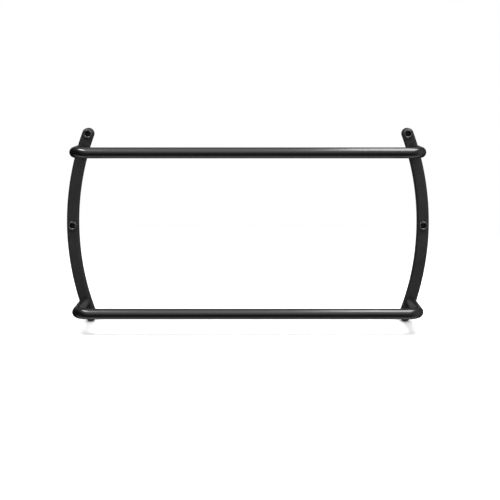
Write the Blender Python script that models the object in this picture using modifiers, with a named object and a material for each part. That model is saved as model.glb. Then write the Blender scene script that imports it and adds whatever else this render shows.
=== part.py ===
"""Wall-mounted double kip bar, in metres.

Two round bars stand off from a wall on bent-back legs. The legs are screwed to two bowed side
rails. Each rail is a hollow channel, and three wall screws hold it, sunk in collared sleeves.

Frame: the origin is the middle of the wall plane. +X is to the right, +Z is up, the wall plane is
Y = 0 and the bars stand towards -Y.
"""
import math

import bmesh
import bpy
from mathutils import Matrix, Vector

# Bars
TUBE_DIAMETER = 0.0254
TUBE_WALL = 0.002
BAR_SPACING = 0.377         # between the axes of the two bars
BAR_STANDOFF = 0.175        # from the face of a rail to a bar's axis
BEND_RADIUS = 0.030         # of the tube's axis
TUBE_SIDES = 24
BEND_STEPS = 6

# Side rails
RAIL_MIDDLE_X = 0.431       # of the rail's centre line, level with the middle hole
RAIL_BOW = 0.041            # how far the end holes lie inside the middle hole
HOLE_PITCH = 0.225          # along Z, between neighbouring mounting holes
RAIL_WIDTH = 0.028
RAIL_DEPTH = 0.025          # from the wall to the rail's face
RAIL_WALL = 0.0025
RAIL_EDGE_RADIUS = 0.0045
RAIL_ARC_STEPS = 22
RAIL_END_STEPS = 10
RAIL_EDGE_STEPS = 3

# Mounting sleeves
COLLAR_RADIUS = 0.011
COLLAR_HEIGHT = 0.0045      # above the rail's face
COLLAR_RIM = 0.0012         # height of the collar's upright edge
COLLAR_CROWN_RADIUS = 0.0078  # outer edge of the flat ring round the mouth
COLLAR_DOME_STEPS = 3
SLEEVE_RADIUS = 0.008
SLEEVE_BORE_RADIUS = 0.0044
COUNTERBORE_RADIUS = 0.0063

# Wall screws
WALL_SCREW_RADIUS = 0.004
WALL_SCREW_LENGTH = 0.060   # under the head
WALL_HEAD_RADIUS = 0.0059
WALL_HEAD_HEIGHT = 0.008
WALL_HEAD_RECESS = 0.008    # from the mouth of the collar down to the head
WALL_SOCKET_WIDTH = 0.006   # across the flats
WALL_SOCKET_DEPTH = 0.004

# Screws that hold the bars
SCREW_RADIUS = 0.005
SCREW_REACH = 0.018         # into the plug
HEAD_RADIUS = 0.008
HEAD_HEIGHT = 0.010
SOCKET_WIDTH = 0.008        # across the flats
SOCKET_DEPTH = 0.005
SCREW_HOLE_RADIUS = 0.0055
WASHER_RADIUS = 0.010
WASHER_THICKNESS = 0.002
WASHER_BORE_RADIUS = 0.0054
PLUG_LENGTH = 0.022
PLUG_CHAMFER = 0.001

TIP_CHAMFER = 0.001         # of all screws
HEAD_CHAMFER = 0.0008
ROUND_STEPS = 20            # round small pieces
GAP = 0.0003                # left between pieces that touch
MERGE_DISTANCE = 0.0001
CUTTER_LENGTH = 0.02

# Worked out from the sizes above
TUBE_RADIUS = TUBE_DIAMETER / 2
RAIL_ARC_RADIUS = (HOLE_PITCH ** 2 + RAIL_BOW ** 2) / (2 * RAIL_BOW)
RAIL_ARC_CENTRE_X = RAIL_MIDDLE_X - RAIL_ARC_RADIUS
RAIL_ARC_ANGLE = math.asin(HOLE_PITCH / RAIL_ARC_RADIUS)
RAIL_FACE_Y = -RAIL_DEPTH
RAIL_INSIDE_Y = RAIL_FACE_Y + RAIL_WALL
LEG_END_Y = RAIL_FACE_Y - GAP
BAR_Y = RAIL_FACE_Y - BAR_STANDOFF
COLLAR_CROWN = RAIL_DEPTH + COLLAR_HEIGHT           # heights above the wall
WALL_HEAD_SEAT = COLLAR_CROWN - WALL_HEAD_RECESS - WALL_HEAD_HEIGHT

SIDES = {"left": -1, "right": 1}
LEVELS = {"top": 1, "middle": 0, "bottom": -1}
BARS = {"upper": 1, "lower": -1}


def rail_centre_x(z):
    """How far the rail's centre line is from the middle, at height z."""
    return RAIL_ARC_CENTRE_X + math.sqrt(RAIL_ARC_RADIUS ** 2 - z ** 2)


LEG_X = rail_centre_x(BAR_SPACING / 2)      # the legs stand on the rail's centre line


def clear_scene():
    for item in list(bpy.data.objects):
        bpy.data.objects.remove(item, do_unlink=True)


def new_collection(name):
    collection = bpy.data.collections.new(name)
    bpy.context.scene.collection.children.link(collection)
    return collection


def new_material(name, colour, roughness, metallic):
    material = bpy.data.materials.new(name)
    material.use_nodes = True
    shader = material.node_tree.nodes["Principled BSDF"]
    shader.inputs["Base Color"].default_value = (*colour, 1.0)
    shader.inputs["Roughness"].default_value = roughness
    shader.inputs["Metallic"].default_value = metallic
    material.diffuse_color = (*colour, 1.0)
    return material


def add_object(name, mesh, collection, material=None):
    item = bpy.data.objects.new(name, mesh)
    collection.objects.link(item)
    if material:
        mesh.materials.clear()
        mesh.materials.append(material)
    return item


def shade_round(mesh, sharp_angle=math.radians(30)):
    mesh.shade_smooth()
    mesh.set_sharp_from_angle(angle=sharp_angle)


def arc(centre, radius, start, end, steps):
    """Points of an arc in a plane, both ends included."""
    points = []
    for step in range(steps + 1):
        angle = start + (end - start) * step / steps
        points.append((centre[0] + radius * math.cos(angle), centre[1] + radius * math.sin(angle)))
    return points


def turned_mesh(name, profile, closed):
    """Mesh of a profile of (radius, height) points, ready for turning about Z."""
    mesh = bpy.data.meshes.new(name)
    shape = bmesh.new()
    corners = [shape.verts.new((radius, 0, height)) for radius, height in profile]
    for start, end in zip(corners, corners[1:]):
        shape.edges.new((start, end))
    if closed:
        shape.edges.new((corners[-1], corners[0]))
    shape.to_mesh(mesh)
    shape.free()
    return mesh


def add_turned(name, profile, collection, material, closed=True):
    """A turned piece. Its height runs from the wall, so local +Z points to world -Y."""
    item = add_object(name, turned_mesh(name, profile, closed), collection, material)
    turn = item.modifiers.new("turn", "SCREW")
    turn.axis = "Z"
    turn.angle = math.tau
    turn.steps = ROUND_STEPS
    turn.render_steps = ROUND_STEPS
    turn.use_smooth_shade = True
    turn.use_merge_vertices = not closed
    turn.merge_threshold = MERGE_DISTANCE
    item.rotation_euler = (math.pi / 2, 0, 0)
    return item


def add_cutter(name, radius, length, segments, centre, cutters):
    """A hidden prism along Y, for cutting holes."""
    mesh = bpy.data.meshes.new(name)
    shape = bmesh.new()
    bmesh.ops.create_cone(shape, cap_ends=True, segments=segments, radius1=radius, radius2=radius,
                          depth=length, matrix=Matrix.Rotation(math.pi / 2, 4, "X"))
    shape.to_mesh(mesh)
    shape.free()
    cutter = add_object(name, mesh, cutters)
    cutter.location = centre
    cutter.hide_render = True
    cutter.display_type = "WIRE"
    return cutter


def cut(item, cutter):
    modifier = item.modifiers.new(cutter.name, "BOOLEAN")
    modifier.operation = "DIFFERENCE"
    modifier.solver = "EXACT"
    modifier.object = cutter


def bar_route():
    """The axis of a bar in its own plane, from one leg's end round to the other's."""
    half = [(LEG_X, LEG_END_Y)]
    bend_centre = (LEG_X - BEND_RADIUS, BAR_Y + BEND_RADIUS)
    half += arc(bend_centre, BEND_RADIUS, 0, -math.pi / 2, BEND_STEPS)
    return [(-x, y) for x, y in half] + half[::-1]


def add_bar(name, height, collection, material):
    """A bent tube, open at both ends: the skin of a curve, thickened inwards."""
    route = bar_route()
    curve = bpy.data.curves.new(name, "CURVE")
    curve.dimensions = "3D"
    curve.twist_mode = "Z_UP"
    curve.bevel_depth = TUBE_RADIUS
    curve.bevel_resolution = (TUBE_SIDES - 4) // 2
    spline = curve.splines.new("POLY")
    spline.points.add(len(route) - 1)
    for point, (x, y) in zip(spline.points, route):
        point.co = (x, y, 0, 1)
    guide = add_object(name + "_guide", curve, collection)
    guide.location.z = height
    bpy.context.view_layer.update()
    evaluated = guide.evaluated_get(bpy.context.evaluated_depsgraph_get())
    mesh = bpy.data.meshes.new_from_object(evaluated)
    bar = add_object(name, mesh, collection, material)
    bar.matrix_world = guide.matrix_world
    bpy.data.objects.remove(guide)
    shade_round(mesh)
    wall = bar.modifiers.new("wall", "SOLIDIFY")
    wall.thickness = TUBE_WALL
    wall.offset = -1
    wall.use_even_offset = True
    return bar


def rail_outline(side):
    """The rail's outline in the wall plane: two long arcs joined by round ends."""
    centre = (RAIL_ARC_CENTRE_X, 0)
    half_width = RAIL_WIDTH / 2
    end_x = RAIL_MIDDLE_X - RAIL_BOW
    tilt = RAIL_ARC_ANGLE
    outer = arc(centre, RAIL_ARC_RADIUS + half_width, -tilt, tilt, RAIL_ARC_STEPS)
    top = arc((end_x, HOLE_PITCH), half_width, tilt, tilt + math.pi, RAIL_END_STEPS)
    inner = arc(centre, RAIL_ARC_RADIUS - half_width, tilt, -tilt, RAIL_ARC_STEPS)
    bottom = arc((end_x, -HOLE_PITCH), half_width, math.pi - tilt, math.tau - tilt, RAIL_END_STEPS)
    outline = outer[:-1] + top[:-1] + inner[:-1] + bottom[:-1]
    return [(side * x, z) for x, z in outline]


def add_rail(name, side, collection, material, cutters):
    """A channel, open to the wall: a face and its side wall, thickened inwards."""
    mesh = bpy.data.meshes.new(name)
    shape = bmesh.new()
    face = shape.faces.new([shape.verts.new((x, RAIL_FACE_Y, z)) for x, z in rail_outline(side)])
    rim = list(face.edges)
    walls = bmesh.ops.extrude_edge_only(shape, edges=rim)
    moved = [item for item in walls["geom"] if isinstance(item, bmesh.types.BMVert)]
    bmesh.ops.translate(shape, vec=Vector((0, RAIL_DEPTH, 0)), verts=moved)
    bmesh.ops.recalc_face_normals(shape, faces=shape.faces)
    if face.normal.y > 0:
        bmesh.ops.reverse_faces(shape, faces=shape.faces)
    shape.to_mesh(mesh)
    shape.free()
    rail = add_object(name, mesh, collection, material)
    shade_round(mesh)
    edge = rail.modifiers.new("edge", "BEVEL")
    edge.width = RAIL_EDGE_RADIUS
    edge.segments = RAIL_EDGE_STEPS
    edge.limit_method = "ANGLE"
    edge.angle_limit = math.radians(60)
    wall = rail.modifiers.new("wall", "SOLIDIFY")
    wall.thickness = RAIL_WALL
    wall.offset = -1
    wall.use_even_offset = True
    for level, sign in LEVELS.items():
        z = sign * HOLE_PITCH
        centre = (side * rail_centre_x(z), RAIL_FACE_Y, z)
        cut(rail, add_cutter(f"{name}_{level}_hole", SLEEVE_RADIUS + GAP, CUTTER_LENGTH,
                             ROUND_STEPS, centre, cutters))
    for bar, sign in BARS.items():
        centre = (side * LEG_X, RAIL_FACE_Y, sign * BAR_SPACING / 2)
        cut(rail, add_cutter(f"{name}_{bar}_screw_hole", SCREW_HOLE_RADIUS, CUTTER_LENGTH,
                             ROUND_STEPS, centre, cutters))
    return rail


def sleeve_profile():
    """From the crown of the collar down the outside to the wall, then up the stepped bore."""
    face = RAIL_DEPTH + GAP
    shoulder = WALL_HEAD_SEAT - GAP
    dome_height = COLLAR_CROWN - face - COLLAR_RIM
    dome_width = COLLAR_RADIUS - COLLAR_CROWN_RADIUS
    profile = []
    for step in range(COLLAR_DOME_STEPS + 1):
        angle = math.pi / 2 * (1 - step / COLLAR_DOME_STEPS)
        profile.append((COLLAR_CROWN_RADIUS + dome_width * math.cos(angle),
                        COLLAR_CROWN - dome_height * (1 - math.sin(angle))))
    profile += [
        (COLLAR_RADIUS, face),
        (SLEEVE_RADIUS, face),
        (SLEEVE_RADIUS, 0),
        (SLEEVE_BORE_RADIUS, 0),
        (SLEEVE_BORE_RADIUS, shoulder),
        (COUNTERBORE_RADIUS, shoulder),
        (COUNTERBORE_RADIUS, COLLAR_CROWN),
    ]
    return profile


def wall_screw_profile():
    """From the top of the head, which looks away from the wall, down to the tip in the wall."""
    top = WALL_HEAD_SEAT + WALL_HEAD_HEIGHT
    tip = WALL_HEAD_SEAT - WALL_SCREW_LENGTH
    return [
        (0, top),
        (WALL_HEAD_RADIUS - HEAD_CHAMFER, top),
        (WALL_HEAD_RADIUS, top - HEAD_CHAMFER),
        (WALL_HEAD_RADIUS, WALL_HEAD_SEAT),
        (WALL_SCREW_RADIUS, WALL_HEAD_SEAT),
        (WALL_SCREW_RADIUS, tip + TIP_CHAMFER),
        (WALL_SCREW_RADIUS - TIP_CHAMFER, tip),
        (0, tip),
    ]


def plug_profile():
    """Local heights start at the end of the leg, and the plug goes up into the tube."""
    radius = TUBE_RADIUS - TUBE_WALL - GAP
    bore = SCREW_RADIUS + GAP
    return [
        (radius - PLUG_CHAMFER, PLUG_LENGTH),
        (radius, PLUG_LENGTH - PLUG_CHAMFER),
        (radius, PLUG_CHAMFER),
        (radius - PLUG_CHAMFER, 0),
        (bore, 0),
        (bore, PLUG_LENGTH),
    ]


def washer_profile():
    return [
        (WASHER_RADIUS, WASHER_THICKNESS),
        (WASHER_RADIUS, 0),
        (WASHER_BORE_RADIUS, 0),
        (WASHER_BORE_RADIUS, WASHER_THICKNESS),
    ]


def bar_screw_profile():
    """Local heights start under the head: the shank goes up and the head is below."""
    reach = RAIL_WALL + GAP + WASHER_THICKNESS + 2 * GAP + SCREW_REACH
    return [
        (0, reach),
        (SCREW_RADIUS - TIP_CHAMFER, reach),
        (SCREW_RADIUS, reach - TIP_CHAMFER),
        (SCREW_RADIUS, 0),
        (HEAD_RADIUS, 0),
        (HEAD_RADIUS, HEAD_CHAMFER - HEAD_HEIGHT),
        (HEAD_RADIUS - HEAD_CHAMFER, -HEAD_HEIGHT),
        (0, -HEAD_HEIGHT),
    ]


def cut_socket(screw, width, depth, face, cutters):
    """A hexagonal socket in a screw's head, whose face is centred on the point given."""
    cut(screw, add_cutter(screw.name + "_socket", width / math.sqrt(3), 2 * depth, 6, face, cutters))


def add_mounting(side_name, side, level, sign, collection, cutters, materials):
    """One collared sleeve in a rail, and the wall screw in it."""
    z = sign * HOLE_PITCH
    x = side * rail_centre_x(z)
    sleeve = add_turned(f"{side_name}_{level}_mounting_sleeve", sleeve_profile(), collection,
                        materials["sleeve"])
    sleeve.location = (x, 0, z)
    screw = add_turned(f"{side_name}_{level}_wall_screw", wall_screw_profile(), collection,
                       materials["screw"], closed=False)
    screw.location = (x, 0, z)
    face = (x, -WALL_HEAD_SEAT - WALL_HEAD_HEIGHT, z)
    cut_socket(screw, WALL_SOCKET_WIDTH, WALL_SOCKET_DEPTH, face, cutters)


def add_fixings(side_name, side, bar_name, sign, collection, cutters, materials):
    """The plug, washer and screw that hold one leg of a bar on its rail."""
    x = side * LEG_X
    z = sign * BAR_SPACING / 2
    washer_y = RAIL_INSIDE_Y + GAP + WASHER_THICKNESS
    head_y = washer_y + GAP
    end = f"{bar_name}_{side_name}"

    plug = add_turned(f"{end}_end_plug", plug_profile(), collection, materials["plug"])
    plug.location = (x, LEG_END_Y, z)
    washer = add_turned(f"{end}_washer", washer_profile(), collection, materials["washer"])
    washer.location = (x, washer_y, z)
    screw = add_turned(f"{end}_bar_screw", bar_screw_profile(), collection, materials["screw"],
                       closed=False)
    screw.location = (x, head_y, z)
    cut_socket(screw, SOCKET_WIDTH, SOCKET_DEPTH, (x, head_y + HEAD_HEIGHT, z), cutters)


def main():
    clear_scene()
    parts = new_collection("kip_bar")
    cutters = new_collection("cutters")
    gloss_black = new_material("gloss_black_paint", (0.018, 0.018, 0.019), 0.25, 0.0)
    rough_black = new_material("rough_black_paint", (0.028, 0.028, 0.029), 0.60, 0.0)
    fixings = {
        "sleeve": new_material("satin_black_steel", (0.035, 0.035, 0.036), 0.35, 0.2),
        "plug": new_material("plain_steel", (0.42, 0.42, 0.43), 0.40, 1.0),
        "washer": new_material("zinc_plate", (0.62, 0.62, 0.64), 0.30, 1.0),
        "screw": new_material("black_oxide", (0.04, 0.04, 0.045), 0.35, 1.0),
    }

    for bar_name, sign in BARS.items():
        add_bar(f"{bar_name}_bar", sign * BAR_SPACING / 2, parts, gloss_black)
    for side_name, side in SIDES.items():
        add_rail(f"{side_name}_side_rail", side, parts, rough_black, cutters)
        for level, sign in LEVELS.items():
            add_mounting(side_name, side, level, sign, parts, cutters, fixings)
        for bar_name, sign in BARS.items():
            add_fixings(side_name, side, bar_name, sign, parts, cutters, fixings)


main()
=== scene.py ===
"""Finished looks of the wall-mounted double kip bar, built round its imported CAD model."""
import math

import bmesh
import bpy
from mathutils import Matrix, Vector


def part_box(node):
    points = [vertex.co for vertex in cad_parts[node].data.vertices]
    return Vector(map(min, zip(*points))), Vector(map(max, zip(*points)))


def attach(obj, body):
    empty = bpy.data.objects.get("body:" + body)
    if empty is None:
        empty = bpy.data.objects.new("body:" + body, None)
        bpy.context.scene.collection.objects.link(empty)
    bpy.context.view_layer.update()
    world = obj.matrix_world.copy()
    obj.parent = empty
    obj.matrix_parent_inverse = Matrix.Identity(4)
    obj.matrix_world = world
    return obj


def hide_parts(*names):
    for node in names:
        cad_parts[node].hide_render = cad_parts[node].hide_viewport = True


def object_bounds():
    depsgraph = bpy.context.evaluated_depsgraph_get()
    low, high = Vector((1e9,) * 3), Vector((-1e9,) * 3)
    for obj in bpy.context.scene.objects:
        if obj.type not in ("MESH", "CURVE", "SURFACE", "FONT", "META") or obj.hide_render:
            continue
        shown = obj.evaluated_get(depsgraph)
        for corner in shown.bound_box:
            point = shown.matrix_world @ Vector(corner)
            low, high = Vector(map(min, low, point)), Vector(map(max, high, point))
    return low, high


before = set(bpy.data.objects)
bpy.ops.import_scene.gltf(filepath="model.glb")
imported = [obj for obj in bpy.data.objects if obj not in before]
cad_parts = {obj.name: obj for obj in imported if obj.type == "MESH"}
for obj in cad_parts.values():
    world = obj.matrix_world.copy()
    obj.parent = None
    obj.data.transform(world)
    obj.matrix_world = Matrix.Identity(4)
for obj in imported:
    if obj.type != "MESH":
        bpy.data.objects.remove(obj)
cad_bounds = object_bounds()

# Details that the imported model's boxes don't give, in metres
BEND_RADIUS = 0.030          # of a bar's axis
TUBE_WALL = 0.002
TUBE_END_ROUND = 0.0004
TUBE_END_STEPS = 4
RAIL_WALL = 0.0025
RAIL_EDGE_ROUND = 0.0045
RAIL_RIM_ROUND = 0.0006
RAIL_FILLET = 0.002
SUPPORT = 0.0006             # flat margin inside a rounded edge, so that its shading stays put
COLLAR_CREST_RADIUS = 0.0093  # outer edge of the collar's flat ring
COLLAR_RIM = 0.0012          # height of the collar's upright edge
SLEEVE_RADIUS = 0.008
SLEEVE_BORE_RADIUS = 0.0044
COUNTERBORE_RADIUS = 0.0063
MOUTH_ROUND = 0.0024         # of the collar's inner edge
SCREW_HOLE_RADIUS = 0.0055
GAP = 0.0003

# The two sizes of socket head screw
BAR_SCREW = {
    "radius": 0.005, "head_height": 0.010, "socket_width": 0.008, "socket_depth": 0.005,
    "plain_length": 0.006, "pitch": 0.0015, "thread_depth": 0.0006,
}
WALL_SCREW = {
    "radius": 0.004, "head_height": 0.008, "socket_width": 0.006, "socket_depth": 0.004,
    "plain_length": 0.032, "pitch": 0.00125, "thread_depth": 0.0005,
}
KNURL_DEPTH = 0.00025
SHANK_RELIEF = 0.0002        # plain shank below the crest of its thread
SCREW_CHAMFER = 0.001
THREAD_MARGIN = 0.0004       # between a thread and the plain shank
SOCKET_TIP = 0.001           # cone that a drill leaves below the hexagon
CAP_RADIUS = 0.0001          # a turned solid's flat ends close at this radius
SAME_RADIUS = 1e-6           # radii closer than this count as one
WASHER_CLEARANCE = 0.0004
PLUG_CHAMFER = 0.0008

TUBE_SIDES = 64
BEND_STEPS = 28
RAIL_ARC_STEPS = 96
RAIL_END_STEPS = 32
FILLET_STEPS = 6
DOME_STEPS = 8
TURN_STEPS = 72
THREAD_ROWS = 6              # rows of points in each turn of a thread

SIDES = {"left": -1, "right": 1}
LEVELS = ("top", "middle", "bottom")
BARS = ("upper", "lower")
OUT_OF_WALL = Matrix.Rotation(math.pi / 2, 4, "X")        # turns local +Z to -Y
INTO_WALL = Matrix.Rotation(-math.pi / 2, 4, "X")         # turns local +Z to +Y


# ---------------------------------------------------------------- shapes

def arc(centre, radius, start, end, steps):
    """Points of an arc in a plane, both ends included."""
    points = []
    for step in range(steps + 1):
        angle = start + (end - start) * step / steps
        points.append((centre[0] + radius * math.cos(angle), centre[1] + radius * math.sin(angle)))
    return points


def rounded(corners, closed=True):
    """A profile with its corners rounded. Each corner is (radius, height, fillet)."""
    points = []
    count = len(corners)
    for index, (x, y, fillet) in enumerate(corners):
        end_point = not closed and index in (0, count - 1)
        if fillet == 0 or end_point:
            points.append((x, y))
            continue
        here = Vector((x, y))
        before = (Vector(corners[index - 1][:2]) - here).normalized()
        after = (Vector(corners[(index + 1) % count][:2]) - here).normalized()
        half_angle = before.angle(after) / 2
        reach = fillet / math.tan(half_angle)
        centre = here + (before + after).normalized() * fillet / math.sin(half_angle)
        start = here + before * reach - centre
        end = here + after * reach - centre
        turn = start.angle_signed(end)
        for step in range(FILLET_STEPS + 1):
            spoke = start.copy()
            spoke.rotate(Matrix.Rotation(-turn * step / FILLET_STEPS, 2))
            points.append(tuple(centre + spoke))
    return points


def skin(name, loops, closed=False, capped=False):
    """A mesh over loops of points. closed joins the last loop to the first."""
    mesh = bpy.data.meshes.new(name)
    shape = bmesh.new()
    rows = [[shape.verts.new(point) for point in loop] for loop in loops]
    pairs = list(zip(rows, rows[1:]))
    if closed:
        pairs.append((rows[-1], rows[0]))
    for row, following in pairs:
        for index in range(len(row)):
            beside = (index + 1) % len(row)
            shape.faces.new((row[index], row[beside], following[beside], following[index]))
    if capped:
        shape.faces.new(rows[0])
        shape.faces.new(rows[-1])
    bmesh.ops.recalc_face_normals(shape, faces=shape.faces)
    shape.to_mesh(mesh)
    shape.free()
    return mesh


def revolve(name, profile, closed=True, steps=TURN_STEPS, radius_at=None):
    """A turned mesh about local Z. radius_at may change a point's radius by its angle and height."""
    loops = []
    for radius, height in profile:
        loop = []
        for step in range(steps):
            angle = math.tau * step / steps
            reach = radius_at(radius, angle, height) if radius_at else radius
            loop.append((reach * math.cos(angle), reach * math.sin(angle), height))
        loops.append(loop)
    return skin(name, loops, closed=closed, capped=not closed)


def shade(mesh, sharp_degrees=35):
    mesh.shade_smooth()
    mesh.set_sharp_from_angle(angle=math.radians(sharp_degrees))


def new_piece(name, mesh, material, node, place=None):
    """A visible piece that stands for a CAD node."""
    piece = bpy.data.objects.new(name, mesh)
    bpy.context.scene.collection.objects.link(piece)
    mesh.materials.append(material)
    if place:
        piece.matrix_world = place
    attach(piece, "root")
    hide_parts(node)
    return piece


def cut_holes(mesh, cutters):
    """The mesh less the cutters' meshes, which are removed."""
    body = bpy.data.objects.new("body", mesh)
    bpy.context.scene.collection.objects.link(body)
    tools = []
    for index, cutter_mesh in enumerate(cutters):
        tool = bpy.data.objects.new(f"tool_{index}", cutter_mesh)
        bpy.context.scene.collection.objects.link(tool)
        tools.append(tool)
        modifier = body.modifiers.new(tool.name, "BOOLEAN")
        modifier.operation = "DIFFERENCE"
        modifier.solver = "EXACT"
        modifier.object = tool
    bpy.context.view_layer.update()
    evaluated = body.evaluated_get(bpy.context.evaluated_depsgraph_get())
    result = bpy.data.meshes.new_from_object(evaluated)
    for item in [body, *tools]:
        bpy.data.objects.remove(item)
    return result


def prism(radius, sides, start, end, centre=(0, 0), tip=0.0, along="Z"):
    """A cutter's mesh: a prism from start to end, with a conical tip past start."""
    def loop(height, reach):
        points = []
        for step in range(sides):
            angle = math.tau * step / sides
            u = centre[0] + reach * math.cos(angle)
            v = centre[1] + reach * math.sin(angle)
            points.append((u, v, height) if along == "Z" else (u, height, v))
        return points

    loops = [loop(start, radius), loop(end, radius)]
    if tip:
        loops.insert(0, loop(start - tip, radius * 0.02))
    return skin("cutter", loops, capped=True)


# ---------------------------------------------------------------- materials

def shader_material(name, colour, roughness, metallic=0.0, specular=0.5):
    """A new material, its nodes, links and Principled shader."""
    material = bpy.data.materials.new(name)
    material.use_nodes = True
    tree = material.node_tree
    shader = tree.nodes["Principled BSDF"]
    shader.inputs["Base Color"].default_value = (*colour, 1)
    shader.inputs["Roughness"].default_value = roughness
    shader.inputs["Metallic"].default_value = metallic
    shader.inputs["Specular IOR Level"].default_value = specular
    return material, tree, shader


def object_coordinates(tree, stretch=(1, 1, 1)):
    source = tree.nodes.new("ShaderNodeTexCoord")
    mapping = tree.nodes.new("ShaderNodeMapping")
    mapping.inputs["Scale"].default_value = stretch
    tree.links.new(source.outputs["Object"], mapping.inputs["Vector"])
    return mapping.outputs["Vector"]


def noise(tree, vector, scale, detail=3.0, roughness=0.5):
    texture = tree.nodes.new("ShaderNodeTexNoise")
    texture.inputs["Scale"].default_value = scale
    texture.inputs["Detail"].default_value = detail
    texture.inputs["Roughness"].default_value = roughness
    tree.links.new(vector, texture.inputs["Vector"])
    return texture.outputs["Fac"]


def spread(tree, value, low, high, start=0.3, end=0.7):
    """The value, from start to end, spread over low to high."""
    remap = tree.nodes.new("ShaderNodeMapRange")
    remap.inputs["From Min"].default_value = start
    remap.inputs["From Max"].default_value = end
    remap.inputs["To Min"].default_value = low
    remap.inputs["To Max"].default_value = high
    tree.links.new(value, remap.inputs["Value"])
    return remap.outputs["Result"]


def blend_colours(tree, value, first, second):
    mix = tree.nodes.new("ShaderNodeMix")
    mix.data_type = "RGBA"
    mix.inputs["A"].default_value = (*first, 1)
    mix.inputs["B"].default_value = (*second, 1)
    tree.links.new(value, mix.inputs["Factor"])
    return mix.outputs["Result"]


def combine(tree, first, second, operation="ADD"):
    """Two values put together by a math node. The second may be a plain number."""
    node = tree.nodes.new("ShaderNodeMath")
    node.operation = operation
    tree.links.new(first, node.inputs[0])
    if isinstance(second, float):
        node.inputs[1].default_value = second
    else:
        tree.links.new(second, node.inputs[1])
    return node.outputs["Value"]


def bump(tree, shader, height, distance, strength=1.0):
    node = tree.nodes.new("ShaderNodeBump")
    node.inputs["Distance"].default_value = distance
    node.inputs["Strength"].default_value = strength
    tree.links.new(height, node.inputs["Height"])
    tree.links.new(node.outputs["Normal"], shader.inputs["Normal"])


def gloss_black_paint():
    """Gloss powder coat: faint orange peel, with fine rubbing marks along the bar."""
    material, tree, shader = shader_material("gloss_black_paint", (0.003, 0.003, 0.0031), 0.2)
    even = object_coordinates(tree)
    along = object_coordinates(tree, (6, 90, 90))
    patches = noise(tree, even, 9, detail=4)
    rubs = noise(tree, along, 3, detail=5, roughness=0.6)
    tree.links.new(blend_colours(tree, patches, (0.002, 0.002, 0.0021), (0.0036, 0.0036, 0.0038)),
                   shader.inputs["Base Color"])
    haze = combine(tree, spread(tree, patches, 0.15, 0.21), spread(tree, rubs, 0.0, 0.07))
    tree.links.new(haze, shader.inputs["Roughness"])
    bump(tree, shader, noise(tree, even, 420, detail=2), 0.00004, 0.6)
    return material


def rough_black_paint():
    """Fine-texture powder coat on a casting: pebbled, matt and a little uneven."""
    material, tree, shader = shader_material("rough_black_paint", (0.006, 0.006, 0.0062), 0.55,
                                             specular=0.36)
    even = object_coordinates(tree)
    patches = noise(tree, even, 22, detail=5, roughness=0.6)
    grain = noise(tree, even, 900, detail=3, roughness=0.6)
    pebbles = tree.nodes.new("ShaderNodeTexVoronoi")
    pebbles.inputs["Scale"].default_value = 1100
    tree.links.new(even, pebbles.inputs["Vector"])
    tone = combine(tree, spread(tree, patches, 0.0, 0.6), spread(tree, grain, 0.0, 0.4))
    tree.links.new(blend_colours(tree, tone, (0.003, 0.003, 0.0032), (0.009, 0.009, 0.0094)),
                   shader.inputs["Base Color"])
    tree.links.new(spread(tree, grain, 0.46, 0.66), shader.inputs["Roughness"])
    relief = combine(tree, grain, pebbles.outputs["Distance"])
    bump(tree, shader, relief, 0.00012, 0.8)
    return material


def turned_metal(name, dark, light, roughness, metallic, groove_scale, specular=0.5):
    """Turned metal: fine rings about the local axis over a slightly cloudy tone."""
    material, tree, shader = shader_material(name, dark, roughness, metallic, specular)
    local = object_coordinates(tree)
    rings = tree.nodes.new("ShaderNodeTexWave")
    rings.wave_type = "RINGS"
    rings.rings_direction = "Z"
    rings.inputs["Scale"].default_value = groove_scale
    rings.inputs["Distortion"].default_value = 0.6
    tree.links.new(local, rings.inputs["Vector"])
    clouds = noise(tree, local, 160, detail=4)
    tree.links.new(blend_colours(tree, clouds, dark, light), shader.inputs["Base Color"])
    tree.links.new(spread(tree, clouds, roughness - 0.06, roughness + 0.08),
                   shader.inputs["Roughness"])
    bump(tree, shader, rings.outputs["Fac"], 0.00001, 0.5)
    return material


def floor_material(fade_start, fade_end):
    """Pale studio floor that fades out to the plain backdrop."""
    material, tree, shader = shader_material("studio_floor", (0.7, 0.7, 0.7), 0.45, specular=0.2)
    even = object_coordinates(tree)
    tone = noise(tree, even, 30, detail=3)
    tree.links.new(blend_colours(tree, tone, (0.69, 0.69, 0.69), (0.72, 0.72, 0.72)),
                   shader.inputs["Base Color"])
    length = tree.nodes.new("ShaderNodeVectorMath")
    length.operation = "LENGTH"
    tree.links.new(even, length.inputs[0])
    tree.links.new(spread(tree, length.outputs["Value"], 1.0, 0.0, fade_start, fade_end),
                   shader.inputs["Alpha"])
    return material


# ---------------------------------------------------------------- pieces

def centre_of(node):
    low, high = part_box(node)
    return (low + high) / 2


def bar_stations(leg_x, leg_end_y, bar_y):
    """Points and unit tangents along a bar's axis, leg end to leg end, in the XY plane."""
    right = [((leg_x, leg_end_y), -math.pi / 2)]
    bend_centre = (leg_x - BEND_RADIUS, bar_y + BEND_RADIUS)
    bend = arc(bend_centre, BEND_RADIUS, 0, -math.pi / 2, BEND_STEPS)
    for step, point in enumerate(bend):
        right.append((point, -math.pi / 2 * (1 + step / BEND_STEPS)))
    stations = [(Vector((x, y, 0)), Vector((math.cos(a), math.sin(a), 0))) for (x, y), a in right]
    mirrored = [(Vector((-p.x, p.y, 0)), Vector((t.x, -t.y, 0))) for p, t in reversed(stations)]
    return stations + mirrored


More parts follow.
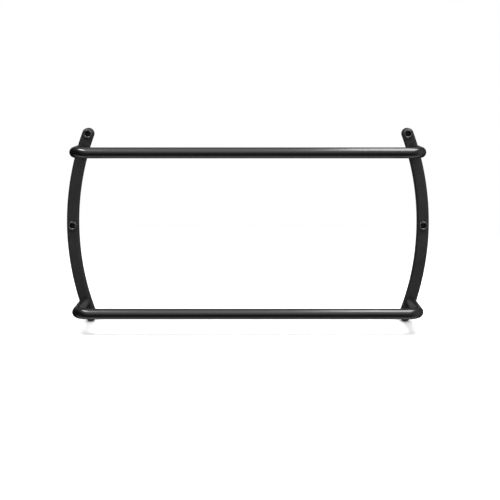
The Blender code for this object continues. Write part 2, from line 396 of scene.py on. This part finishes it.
def bar_mesh(node):
    """A bent tube, swept as rings: out along the outside and back along the bore."""
    low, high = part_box(node)
    radius = (high.z - low.z) / 2
    height = Vector((0, 0, (high.z + low.z) / 2))
    stations = bar_stations(high.x - radius, high.y, low.y + radius)
    up = Vector((0, 0, 1))

    def ring(station, reach, shift=0.0):
        point, tangent = station
        across = tangent.cross(up)
        middle = point + height + tangent * shift
        loop = []
        for step in range(TUBE_SIDES):
            angle = math.tau * step / TUBE_SIDES
            loop.append(middle + (across * math.cos(angle) + up * math.sin(angle)) * reach)
        return loop

    bore = radius - TUBE_WALL
    corner = TUBE_END_ROUND

    def end_rings(station, inward, outside_first):
        """A rounded tube end. inward is +1 where the tangent points into the tube."""
        outer = []
        inner = []
        for step in range(TUBE_END_STEPS + 1):
            angle = math.pi / 2 * step / TUBE_END_STEPS
            depth = corner * (1 - math.sin(angle))
            outer.append((radius - corner + corner * math.cos(angle), depth))
            inner.append((bore + corner - corner * math.cos(angle), depth))
        rows = outer + inner[::-1] if outside_first else inner + outer[::-1]
        return [ring(station, reach, inward * depth) for reach, depth in rows]

    loops = [ring(station, radius) for station in stations[1:-1]]
    loops += end_rings(stations[-1], -1, True)
    loops += [ring(station, bore) for station in reversed(stations[1:-1])]
    loops += end_rings(stations[0], 1, False)
    mesh = skin(node + "_tube", loops, closed=True)
    shade(mesh)
    return mesh


def rail_shape(side_name):
    """The rail's centre-line arc, from where its three sleeves stand."""
    middle = centre_of(f"{side_name}_middle_mounting_sleeve")
    top = centre_of(f"{side_name}_top_mounting_sleeve")
    pitch = top.z - middle.z
    bow = abs(middle.x) - abs(top.x)
    radius = (pitch ** 2 + bow ** 2) / (2 * bow)
    low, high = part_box(f"{side_name}_side_rail")
    return {
        "radius": radius,
        "centre_x": abs(middle.x) - radius,
        "tilt": math.asin(pitch / radius),
        "end": (abs(top.x), pitch),
        "half_width": max(abs(low.x), abs(high.x)) - abs(middle.x),
        "height": high.z,
        "face_y": low.y,
        "wall_y": high.y,
    }


def rail_outline(shape, side, inset, y):
    """A loop round the rail, inset from its outline, at depth y."""
    centre = (shape["centre_x"], 0)
    end_x, pitch = shape["end"]
    tilt = shape["tilt"]
    reach = shape["half_width"] - inset
    outer = arc(centre, shape["radius"] + reach, -tilt, tilt, RAIL_ARC_STEPS)
    top = arc((end_x, pitch), reach, tilt, tilt + math.pi, RAIL_END_STEPS)
    inner = arc(centre, shape["radius"] - reach, tilt, -tilt, RAIL_ARC_STEPS)
    bottom = arc((end_x, -pitch), reach, math.pi - tilt, math.tau - tilt, RAIL_END_STEPS)
    outline = outer[:-1] + top[:-1] + inner[:-1] + bottom[:-1]
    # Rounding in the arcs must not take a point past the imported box
    highest = shape["height"]
    return [(side * x, y, min(max(z, -highest), highest)) for x, z in outline]


def rail_mesh(side_name, side):
    """A channel casting: rounded face edges, filleted inside, open to the wall."""
    shape = rail_shape(side_name)
    face, wall = shape["face_y"], shape["wall_y"]
    flat = shape["half_width"] / 2
    section = rounded([
        (flat, face, 0),
        (0, face, RAIL_EDGE_ROUND),
        (0, wall, RAIL_RIM_ROUND),
        (RAIL_WALL, wall, RAIL_RIM_ROUND),
        (RAIL_WALL, face + RAIL_WALL, RAIL_FILLET),
        (flat, face + RAIL_WALL, 0),
    ], closed=False)
    section[0] = (RAIL_EDGE_ROUND + SUPPORT, face)
    section[-1] = (RAIL_WALL + RAIL_FILLET + SUPPORT, face + RAIL_WALL)
    loops = [rail_outline(shape, side, inset, y) for inset, y in section]
    mesh = skin(f"{side_name}_rail_casting", loops, capped=True)

    cutters = []
    for level in LEVELS:
        centre = centre_of(f"{side_name}_{level}_mounting_sleeve")
        cutters.append(prism(SLEEVE_RADIUS + GAP, TURN_STEPS, 2 * face, face / 2,
                             (centre.x, centre.z), along="Y"))
    for bar in BARS:
        centre = centre_of(f"{bar}_{side_name}_washer")
        cutters.append(prism(SCREW_HOLE_RADIUS, TURN_STEPS, 2 * face, face / 2,
                             (centre.x, centre.z), along="Y"))
    mesh = cut_holes(mesh, cutters)
    shade(mesh)
    return mesh


def standing_at(node):
    """Where a turned piece starts on the node's axis, at its end nearest the wall."""
    low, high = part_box(node)
    centre = (low + high) / 2
    return Matrix.Translation((centre.x, high.y, centre.z)) @ OUT_OF_WALL


def driven_from(node):
    """Where a turned piece starts on the node's axis, at its far end, to run into the wall."""
    low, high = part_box(node)
    centre = (low + high) / 2
    return Matrix.Translation((centre.x, low.y, centre.z)) @ INTO_WALL


def length_of(node):
    low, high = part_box(node)
    return high.y - low.y


def radius_of(node):
    low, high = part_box(node)
    return (high.x - low.x) / 2


def sleeve_mesh(node, face_height):
    """A domed collar on a plain tube. The bore is stepped for a screw's head, with a soft mouth."""
    collar = radius_of(node)
    crown = length_of(node)
    edge = face_height + GAP
    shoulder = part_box(node)[1].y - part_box(node.replace("mounting_sleeve", "wall_screw"))[0].y
    shoulder -= WALL_SCREW["head_height"] + GAP
    dome_width = collar - COLLAR_CREST_RADIUS
    dome_height = crown - edge - COLLAR_RIM
    dome = []
    for step in range(DOME_STEPS + 1):
        angle = math.pi / 2 * (1 - step / DOME_STEPS)
        dome.append((COLLAR_CREST_RADIUS + dome_width * math.cos(angle),
                     crown - dome_height * (1 - math.sin(angle))))
    tube = rounded([
        (collar, edge + COLLAR_RIM, 0),
        (collar, edge, 0.0002),
        (SLEEVE_RADIUS, edge, 0.0003),
        (SLEEVE_RADIUS, 0, 0.0004),
        (SLEEVE_BORE_RADIUS, 0, 0.0004),
        (SLEEVE_BORE_RADIUS, shoulder, 0.0003),
        (COUNTERBORE_RADIUS, shoulder, 0.0003),
        (COUNTERBORE_RADIUS, crown, MOUTH_ROUND),
        (COLLAR_CREST_RADIUS, crown, 0),
    ], closed=False)
    mesh = revolve(node, dome + tube[1:-1])
    shade(mesh)
    return mesh


def threaded(crest, pitch, depth):
    """A rule for revolve: radii near crest follow a helical V thread of this (signed) depth."""
    def radius_at(radius, angle, height):
        if abs(radius - crest) > SAME_RADIUS:
            return radius
        phase = (height / pitch - angle / math.tau) % 1.0
        return radius - depth * abs(2 * phase - 1)
    return radius_at


def thread_rows(radius, pitch, bottom, top):
    """Evenly spaced profile points for a threaded stretch."""
    rows = round(abs(top - bottom) / pitch * THREAD_ROWS)
    return [(radius, bottom + (top - bottom) * row / rows) for row in range(rows + 1)]


def screw_mesh(node, screw):
    """A socket head cap screw. Local 0 is the face of its head, and the shank goes up."""
    head_radius = radius_of(node)
    length = length_of(node)
    radius, head_height = screw["radius"], screw["head_height"]
    plain = radius - SHANK_RELIEF
    plain_top = head_height + screw["plain_length"]
    knurl_root = head_radius - KNURL_DEPTH
    profile = rounded([
        (CAP_RADIUS, length, 0),
        (radius - SCREW_CHAMFER, length, 0.0003),
        (plain, length - SCREW_CHAMFER, 0),
    ], closed=False)
    thread_end = length - SCREW_CHAMFER - SHANK_RELIEF
    profile += thread_rows(radius, screw["pitch"], thread_end, plain_top + THREAD_MARGIN)
    profile += [(plain, plain_top)]
    profile += rounded([
        (plain, plain_top - 0.0002, 0),
        (plain, head_height, 0.0004),
        (knurl_root, head_height, 0.0004),
        (knurl_root, head_height - SCREW_CHAMFER, 0),
    ], closed=False)
    profile += [(head_radius, head_height - 0.0014), (head_radius, 0.0016)]
    profile += rounded([
        (knurl_root, 0.0012, 0),
        (knurl_root, 0.0008, 0),
        (head_radius - SCREW_CHAMFER, 0, 0.0004),
        (CAP_RADIUS, 0, 0),
    ], closed=False)
    thread = threaded(radius, screw["pitch"], screw["thread_depth"])

    def radius_at(reach, angle, height):
        if abs(reach - head_radius) < SAME_RADIUS:
            ridge = round(angle / math.tau * TURN_STEPS) % 2
            return reach - KNURL_DEPTH * ridge
        return thread(reach, angle, height)

    blank = revolve(node, profile, closed=False, radius_at=radius_at)
    depth = screw["socket_depth"]
    socket = prism(screw["socket_width"] / math.sqrt(3), 6, -depth, depth, tip=SOCKET_TIP)
    socket.transform(Matrix.Rotation(math.pi, 4, "X"))
    mesh = cut_holes(blank, [socket])
    shade(mesh, 25)
    return mesh


def washer_mesh(node):
    """A stamped washer: one edge rolled over, the other crisp."""
    radius = radius_of(node)
    thickness = length_of(node)
    bore = BAR_SCREW["radius"] + WASHER_CLEARANCE
    mesh = revolve(node, rounded([
        (radius, thickness, 0.0002),
        (radius, 0, 0.0006),
        (bore, 0, 0.0005),
        (bore, thickness, 0.0001),
    ]))
    shade(mesh)
    return mesh


def plug_mesh(node):
    """A chamfered plug with a threaded bore."""
    radius = radius_of(node)
    length = length_of(node)
    bore = BAR_SCREW["radius"] + GAP
    pitch = BAR_SCREW["pitch"]
    profile = rounded([
        (bore + PLUG_CHAMFER, length, 0.0002),
        (radius - SCREW_CHAMFER, length, 0.0003),
        (radius, length - SCREW_CHAMFER, 0.0003),
        (radius, SCREW_CHAMFER, 0.0003),
        (radius - SCREW_CHAMFER, 0, 0.0003),
        (bore + PLUG_CHAMFER, 0, 0.0002),
    ])
    profile += thread_rows(bore, pitch, PLUG_CHAMFER, length - PLUG_CHAMFER)
    mesh = revolve(node, profile, radius_at=threaded(bore, pitch, -BAR_SCREW["thread_depth"]))
    shade(mesh, 25)
    return mesh


def build_pieces():
    gloss = gloss_black_paint()
    rough = rough_black_paint()
    satin = turned_metal("satin_black_steel", (0.012, 0.012, 0.0124), (0.022, 0.022, 0.0226),
                         0.25, 0.0, 900, specular=0.6)
    oxide = turned_metal("black_oxide", (0.018, 0.018, 0.020), (0.032, 0.031, 0.030), 0.42, 1.0, 700)
    zinc = turned_metal("zinc_plate", (0.55, 0.56, 0.58), (0.70, 0.70, 0.69), 0.28, 1.0, 500)
    steel = turned_metal("plain_steel", (0.36, 0.36, 0.37), (0.48, 0.48, 0.48), 0.36, 1.0, 800)

    for bar in BARS:
        node = f"{bar}_bar"
        new_piece(node + "_tube", bar_mesh(node), gloss, node)
    for side_name, side in SIDES.items():
        node = f"{side_name}_side_rail"
        face_height = length_of(node)
        new_piece(f"{side_name}_rail_casting", rail_mesh(side_name, side), rough,
                  node)
        for level in LEVELS:
            node = f"{side_name}_{level}_mounting_sleeve"
            new_piece(f"{side_name}_{level}_collar_sleeve", sleeve_mesh(node, face_height), satin,
                      node, standing_at(node))
            node = f"{side_name}_{level}_wall_screw"
            new_piece(f"{side_name}_{level}_socket_wall_screw", screw_mesh(node, WALL_SCREW), oxide,
                      node, driven_from(node))
        for bar in BARS:
            end = f"{bar}_{side_name}"
            node = end + "_bar_screw"
            new_piece(end + "_socket_screw", screw_mesh(node, BAR_SCREW), oxide, node,
                      standing_at(node))
            node = end + "_washer"
            new_piece(end + "_flat_washer", washer_mesh(node), zinc, node,
                      standing_at(node))
            node = end + "_end_plug"
            new_piece(end + "_threaded_plug", plug_mesh(node), steel, node,
                      standing_at(node))


# ---------------------------------------------------------------- studio

CAMERA_DISTANCE = 3.2128     # in front of the wall plane
CAMERA_HEIGHT = 0.3576       # above the middle of the object
CAMERA_OFFSET = 0.0052       # to the right of the middle
CAMERA_PITCH = 0.1303        # downwards, in radians
CAMERA_LENS = 94.01
SENSOR_WIDTH = 36
FLOOR_RADIUS = 2.4
FLOOR_GAP = 0.0004           # below the lowest piece
FLOOR_FADE = (0.8, 2.2)
BACKDROP = 1.0
# Soft glows in the room: (strength, direction, falloff)
SKY = (2.6, (0, -0.454, 0.891), 2.5)
FRONT_FILL = (0.10, (0, -0.9, -0.43), 1.0)
BACK_FILL = (0.20, (0, 0.8, 0.6), 2.0)
FLOOR_BOUNCE = (1.6, (0, 0.05, -0.999), 14.0)
RIGHT_FILL = (0.7, (0.97, -0.2, 0.1), 4.0)
SIDE_FALLOFF = 2.0           # how fast the room, but not the bounce, darkens to left and right
SIDE_GLOW = 0.02
# Lamps: name, location, size, turn about X and then Z, power, whether reflections show it
SOFTBOXES = (
    ("right_softbox", (0.775, -0.54, 1.3), (0.95, 1.25), (0, 0), 41, True),
    ("left_softbox", (-1.0, -0.6, 1.5), (0.3, 1.1), (0, 0.38), 29, True),
    ("back_softbox", (0, 1.6, 1.0), (2.0, 1.0), (-1.01, 0), 50, False),
)


def add_camera():
    camera = bpy.data.cameras.new("camera")
    camera.lens = CAMERA_LENS
    camera.sensor_width = SENSOR_WIDTH
    item = bpy.data.objects.new("camera", camera)
    item.location = (CAMERA_OFFSET, -CAMERA_DISTANCE, CAMERA_HEIGHT)
    item.rotation_euler = (math.pi / 2 - CAMERA_PITCH, 0, 0)
    bpy.context.scene.collection.objects.link(item)
    bpy.context.scene.camera = item


def add_floor():
    bpy.ops.mesh.primitive_circle_add(vertices=96, radius=FLOOR_RADIUS, fill_type="NGON",
                                      location=(0, 0, cad_bounds[0].z - FLOOR_GAP))
    floor = bpy.context.object
    floor.name = "studio_floor"
    floor.data.materials.append(floor_material(*FLOOR_FADE))
    floor.visible_glossy = False


def lobe(tree, direction, glow):
    """A soft glow in the world, brightest in one direction."""
    strength, toward, falloff = glow
    dot = tree.nodes.new("ShaderNodeVectorMath")
    dot.operation = "DOT_PRODUCT"
    dot.inputs[1].default_value = Vector(toward).normalized()
    tree.links.new(direction, dot.inputs[0])
    facing = combine(tree, dot.outputs["Value"], 0.0, "MAXIMUM")
    shaped = combine(tree, facing, falloff, "POWER")
    return combine(tree, shaped, strength, "MULTIPLY")


def upright_part(tree, direction):
    """The direction laid into the YZ plane, which makes a lobe a band from left to right."""
    flat = tree.nodes.new("ShaderNodeVectorMath")
    flat.operation = "MULTIPLY"
    flat.inputs[1].default_value = (0, 1, 1)
    tree.links.new(direction, flat.inputs[0])
    unit = tree.nodes.new("ShaderNodeVectorMath")
    unit.operation = "NORMALIZE"
    tree.links.new(flat.outputs["Vector"], unit.inputs[0])
    return unit.outputs["Vector"]


def add_world():
    """A dim room with soft glows all round. The camera itself sees a plain white backdrop."""
    world = bpy.data.worlds.new("studio")
    bpy.context.scene.world = world
    world.use_nodes = True
    tree = world.node_tree
    light = tree.nodes["Background"]
    direction = tree.nodes.new("ShaderNodeTexCoord").outputs["Generated"]
    room = lobe(tree, direction, SKY)
    for glow in (FRONT_FILL, BACK_FILL):
        room = combine(tree, room, lobe(tree, direction, glow))
    split = tree.nodes.new("ShaderNodeSeparateXYZ")
    tree.links.new(direction, split.inputs["Vector"])
    sideways = combine(tree, split.outputs["X"], split.outputs["X"], "MULTIPLY")
    frontal = combine(tree, spread(tree, sideways, 1.0, 0.0, 0.0, 1.0), SIDE_FALLOFF, "POWER")
    room = combine(tree, room, frontal, "MULTIPLY")
    bounce = lobe(tree, upright_part(tree, direction), FLOOR_BOUNCE)
    bounce = combine(tree, bounce, spread(tree, sideways, 1.0, 0.0, 0.0, 1.0), "MULTIPLY")
    for glow in (bounce, lobe(tree, direction, RIGHT_FILL)):
        room = combine(tree, room, glow)
    room = combine(tree, room, SIDE_GLOW)
    tree.links.new(room, light.inputs["Strength"])
    light.inputs["Color"].default_value = (1, 1, 1, 1)
    backdrop = tree.nodes.new("ShaderNodeBackground")
    backdrop.inputs["Color"].default_value = (1, 1, 1, 1)
    backdrop.inputs["Strength"].default_value = BACKDROP
    mix = tree.nodes.new("ShaderNodeMixShader")
    seen = tree.nodes.new("ShaderNodeLightPath").outputs["Is Camera Ray"]
    tree.links.new(seen, mix.inputs["Fac"])
    tree.links.new(light.outputs["Background"], mix.inputs[1])
    tree.links.new(backdrop.outputs["Background"], mix.inputs[2])
    tree.links.new(mix.outputs["Shader"], tree.nodes["World Output"].inputs["Surface"])


def add_softbox(name, location, size, rotation, power, glossy):
    """A rectangular lamp, which shines straight down until it's rotated about X and then Z."""
    light = bpy.data.lights.new(name, "AREA")
    light.shape = "RECTANGLE"
    light.size, light.size_y = size
    light.energy = power
    item = bpy.data.objects.new(name, light)
    item.location = location
    item.rotation_euler = (rotation[0], 0, rotation[1])
    item.visible_camera = False
    item.visible_glossy = glossy
    bpy.context.scene.collection.objects.link(item)


def add_studio():
    add_camera()
    add_floor()
    add_world()
    for softbox in SOFTBOXES:
        add_softbox(*softbox)
    bpy.context.scene.view_settings.view_transform = "Standard"


build_pieces()
add_studio()
